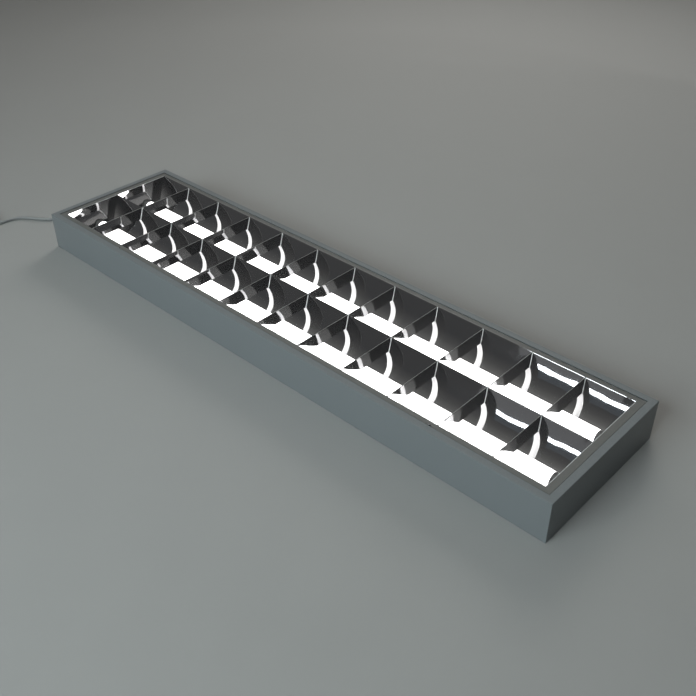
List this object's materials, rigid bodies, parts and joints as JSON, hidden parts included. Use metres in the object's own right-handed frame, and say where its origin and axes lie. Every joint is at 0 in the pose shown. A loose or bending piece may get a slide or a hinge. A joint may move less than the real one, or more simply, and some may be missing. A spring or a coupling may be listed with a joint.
{
  "type": "troffer light",
  "caption": "Long shallow box light with tubes behind a hinged parabolic mirror louvre, wired with a cord and plug.",
  "frame": {"origin": "middle of the back, on the surface that the back lies on", "axes": "+X along the tubes, from the cord end to the plain end; +Y towards the hinge side of the louvre; +Z from the back to the light side"},
  "size_m": [1.507, 0.5317, 0.078],
  "materials": {
    "housing_paint": "satin",
    "tray_paint": "satin",
    "louvre_mirror": "polished",
    "zinc_steel": "satin",
    "spring_steel": "gloss",
    "tube_sleeve": "satin",
    "tube_cap": "satin",
    "contact_brass": "gloss",
    "led_board": "matte",
    "holder_plastic": "gloss",
    "block_plastic": "matte",
    "wire_insulation": "matte",
    "earth_insulation": "matte",
    "cord_jacket": "satin",
    "boot_rubber": "matte",
    "plug_plastic": "satin"
  },
  "bodies": {
    "housing": {"cord_boot": "boot_rubber", "cord_clamp": "block_plastic", "cord_coil": "cord_jacket", "cord_cores": "wire_insulation", "cord_lead": "cord_jacket", "cord_sheath": "cord_jacket", "cord_tail": "cord_jacket", "earth_wire": "earth_insulation", "end_plate_left": "housing_paint", "end_plate_right": "housing_paint", "hinge_bracket_left": "zinc_steel", "hinge_bracket_right": "zinc_steel", "housing_channel": "housing_paint", "lamp_tray": "tray_paint", "lamp_wires": "wire_insulation", "lampholder_far_left": "holder_plastic", "lampholder_far_right": "holder_plastic", "lampholder_near_left": "holder_plastic", "lampholder_near_right": "holder_plastic", "louvre_catches": "spring_steel", "plug_body": "plug_plastic", "plug_contacts": "contact_brass", "terminal_block": "block_plastic", "tray_bosses": "zinc_steel", "tray_screws": "zinc_steel", "wiring_screws": "zinc_steel"},
    "louvre": {"cross_blade_01": "louvre_mirror", "cross_blade_02": "louvre_mirror", "cross_blade_03": "louvre_mirror", "cross_blade_04": "louvre_mirror", "cross_blade_05": "louvre_mirror", "cross_blade_06": "louvre_mirror", "cross_blade_07": "louvre_mirror", "cross_blade_08": "louvre_mirror", "cross_blade_09": "louvre_mirror", "cross_blade_10": "louvre_mirror", "cross_blade_11": "louvre_mirror", "hinge_clip_left": "zinc_steel", "hinge_clip_right": "zinc_steel", "hinge_pin_left": "zinc_steel", "hinge_pin_right": "zinc_steel", "louvre_end_left": "louvre_mirror", "louvre_end_right": "louvre_mirror", "louvre_side_far": "louvre_mirror", "louvre_side_near": "louvre_mirror", "louvre_spine": "louvre_mirror"},
    "tube_near": {"led_board_near": "led_board", "rotor_near_left": "holder_plastic", "rotor_near_right": "holder_plastic", "tube_cap_near_left": "tube_cap", "tube_cap_near_right": "tube_cap", "tube_pins_near": "contact_brass", "tube_sleeve_near": "tube_sleeve"},
    "tube_far": {"led_board_far": "led_board", "rotor_far_left": "holder_plastic", "rotor_far_right": "holder_plastic", "tube_cap_far_left": "tube_cap", "tube_cap_far_right": "tube_cap", "tube_pins_far": "contact_brass", "tube_sleeve_far": "tube_sleeve"}
  },
  "joints": [
    {"name": "louvre_hinge", "type": "hinge", "parent": "housing", "child": "louvre", "pos_m": [0, 0.131, 0.072], "axis": [-1, 0, 0], "range_deg": [0, 90]},
    {"name": "tube_turn_near", "type": "hinge", "parent": "housing", "child": "tube_near", "pos_m": [0, -0.063, 0.03], "axis": [1, 0, 0], "range_deg": [0, 90]},
    {"name": "tube_turn_far", "type": "hinge", "parent": "housing", "child": "tube_far", "pos_m": [0, 0.063, 0.03], "axis": [1, 0, 0], "range_deg": [0, 90]}
  ]
}
